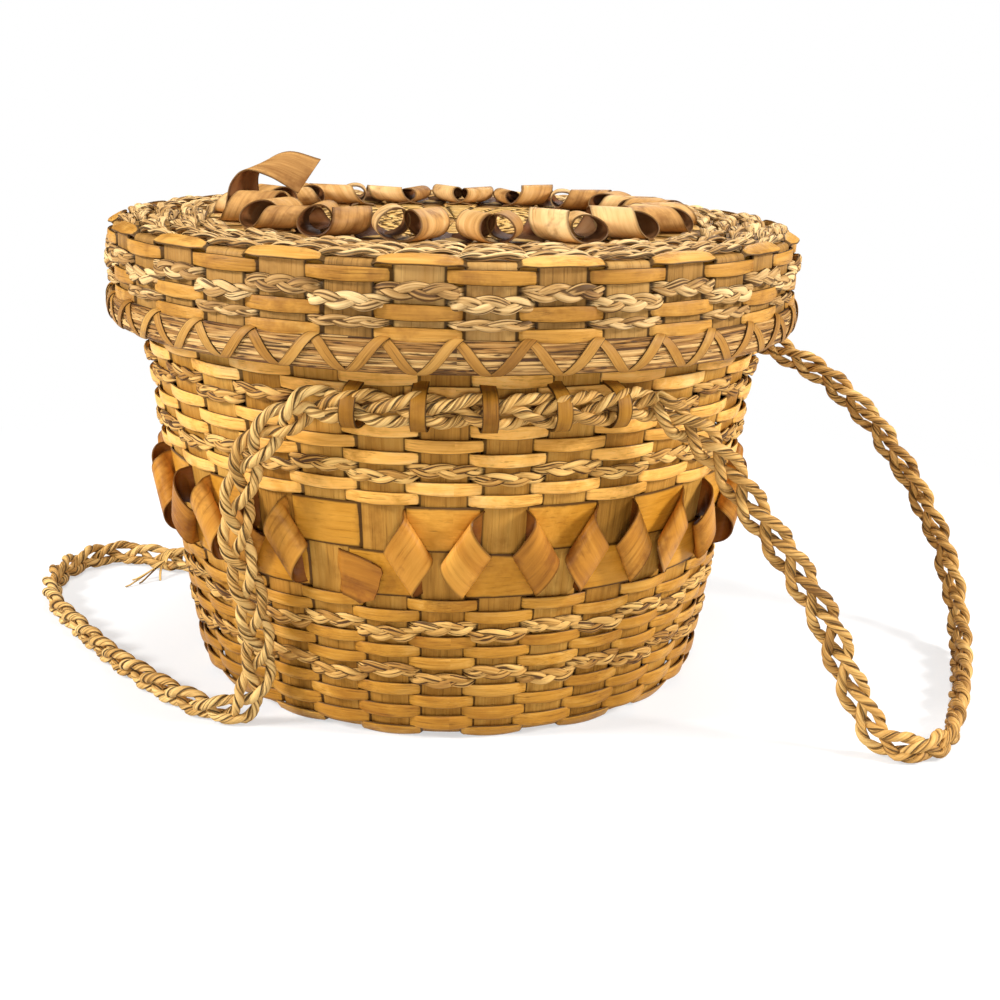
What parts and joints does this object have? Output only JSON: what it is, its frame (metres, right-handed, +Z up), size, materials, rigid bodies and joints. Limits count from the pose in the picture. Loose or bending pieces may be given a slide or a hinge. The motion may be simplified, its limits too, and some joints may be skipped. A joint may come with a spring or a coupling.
{
  "type": "covered splint basket",
  "caption": "Round covered basket woven of ash splints and braided sweetgrass, with curled splint bands, a lift-off lid and a braided carrying cord in two loops.",
  "frame": {"origin": "middle of the flat bottom, on the surface that the basket stands on, on the basket's axis", "axes": "+Z up along the basket's axis, -Y towards the front, where the flat run of the carrying braid crosses, +X to the viewer's right"},
  "size_m": [0.4407, 0.2978, 0.2203],
  "materials": {
    "ash_weaver": "thin ash splint woven flat, honey brown, satin",
    "ash_stake": "ash splint upright, khaki tan, dry satin",
    "ash_curl": "thin ash splint rolled into curls, orange brown, satin",
    "sweetgrass": "three-strand braid of dry grass, pale straw",
    "braided_cord": "plaited dry grass cord, straw",
    "rim_grass": "bundle of loose grass blades lashed to the rim, pale straw"
  },
  "bodies": {
    "basket": {"ash_course_above_bands": "ash_weaver", "ash_course_below_bands": "ash_weaver", "ash_course_collar": "ash_weaver", "ash_course_foot": "ash_weaver", "ash_course_high": "ash_weaver", "ash_course_low": "ash_weaver", "base_splints": "ash_stake", "base_weaver_inner": "ash_weaver", "base_weaver_outer": "ash_weaver", "body_curl_strip": "ash_curl", "handle_bight_left": "braided_cord", "handle_bight_right": "braided_cord", "handle_loop_back_1": "ash_stake", "handle_loop_back_2": "ash_stake", "handle_loop_back_3": "ash_stake", "handle_loop_back_4": "ash_stake", "handle_loop_back_5": "ash_stake", "handle_loop_front_1": "ash_stake", "handle_loop_front_2": "ash_stake", "handle_loop_front_3": "ash_stake", "handle_loop_front_4": "ash_stake", "handle_loop_front_5": "ash_stake", "handle_run_back": "braided_cord", "handle_run_front": "braided_cord", "rim_hoop_inner": "ash_weaver", "rim_hoop_outer": "ash_weaver", "sweetgrass_above_bands_1": "sweetgrass", "sweetgrass_above_bands_2": "sweetgrass", "sweetgrass_below_bands_1": "sweetgrass", "sweetgrass_below_bands_2": "sweetgrass", "sweetgrass_high_1": "sweetgrass", "sweetgrass_high_2": "sweetgrass", "sweetgrass_low_1": "sweetgrass", "sweetgrass_low_2": "sweetgrass", "wall_stakes": "ash_stake", "wide_band_lower": "ash_weaver", "wide_band_upper": "ash_weaver"},
    "lid": {"lid_ash_row_high": "ash_weaver", "lid_ash_row_low": "ash_weaver", "lid_ash_row_middle": "ash_weaver", "lid_band_inner": "ash_weaver", "lid_band_outer": "ash_weaver", "lid_curl_strip": "ash_curl", "lid_middle_weave": "sweetgrass", "lid_rim_bundle": "rim_grass", "lid_rim_hoop_inner": "ash_weaver", "lid_rim_lashing": "ash_weaver", "lid_shoulder_row": "ash_weaver", "lid_side_braid_lower": "sweetgrass", "lid_side_braid_upper": "sweetgrass", "lid_side_splints": "ash_stake", "lid_thin_braid": "sweetgrass", "lid_top_braid_1": "sweetgrass", "lid_top_braid_2": "sweetgrass", "lid_top_braid_3": "sweetgrass", "lid_top_braid_4": "sweetgrass", "lid_top_braid_5": "sweetgrass", "lid_top_braid_6": "sweetgrass", "lid_top_splints": "ash_stake"}
  },
  "joints": [
    {"name": "lid_lift", "type": "slide", "parent": "basket", "child": "lid", "axis": [0, 0, 1], "range_m": [0, 0.12]}
  ]
}
